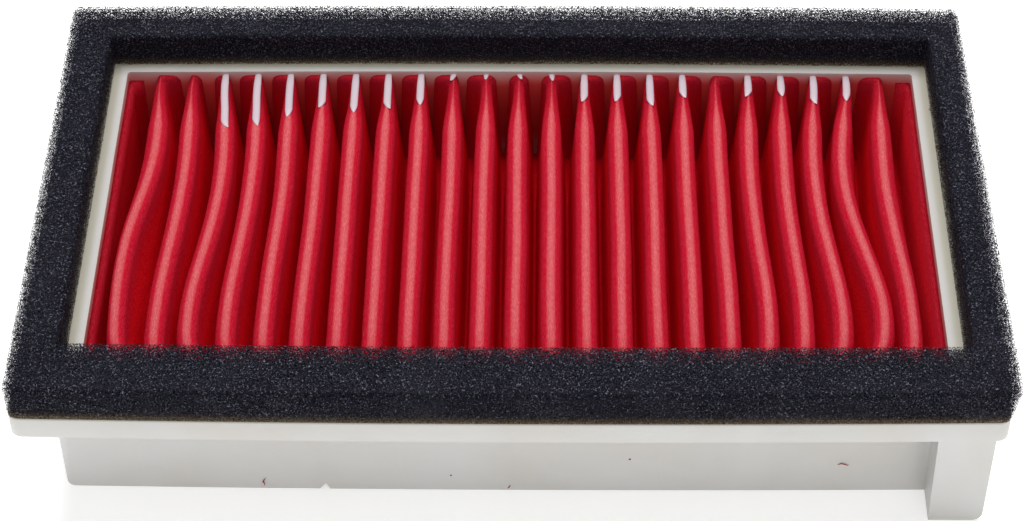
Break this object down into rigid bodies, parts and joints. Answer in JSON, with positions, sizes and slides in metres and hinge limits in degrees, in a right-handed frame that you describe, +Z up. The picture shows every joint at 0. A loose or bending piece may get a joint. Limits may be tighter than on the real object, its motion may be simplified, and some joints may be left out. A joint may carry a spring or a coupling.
{
  "type": "panel air filter",
  "caption": "Rectangular panel air filter: pleated element moulded into a plastic frame with a corner locating leg and a foam gasket on its flange.",
  "frame": {"origin": "centre of the base, level with the lower edge of the skirt and the foot of the leg", "axes": "+X along the length, +Z up to the gasket, and the locating leg stands at +X, -Y"},
  "size_m": [0.235, 0.139, 0.046],
  "materials": {
    "frame_plastic": "as-moulded off-white polypropylene, fine satin",
    "filter_media": "red oiled non-woven, soft fibrous sheen",
    "screen_wire": "galvanised steel wire",
    "adhesive_film": "translucent pressure-sensitive film",
    "gasket_foam": "open-cell polyurethane foam, charcoal"
  },
  "bodies": {
    "root": {"frame": "frame_plastic", "pleated_element": "filter_media", "screen_long_wires": "screen_wire", "screen_cross_wires": "screen_wire", "gasket_adhesive": "adhesive_film", "foam_gasket": "gasket_foam"}
  },
  "joints": []
}
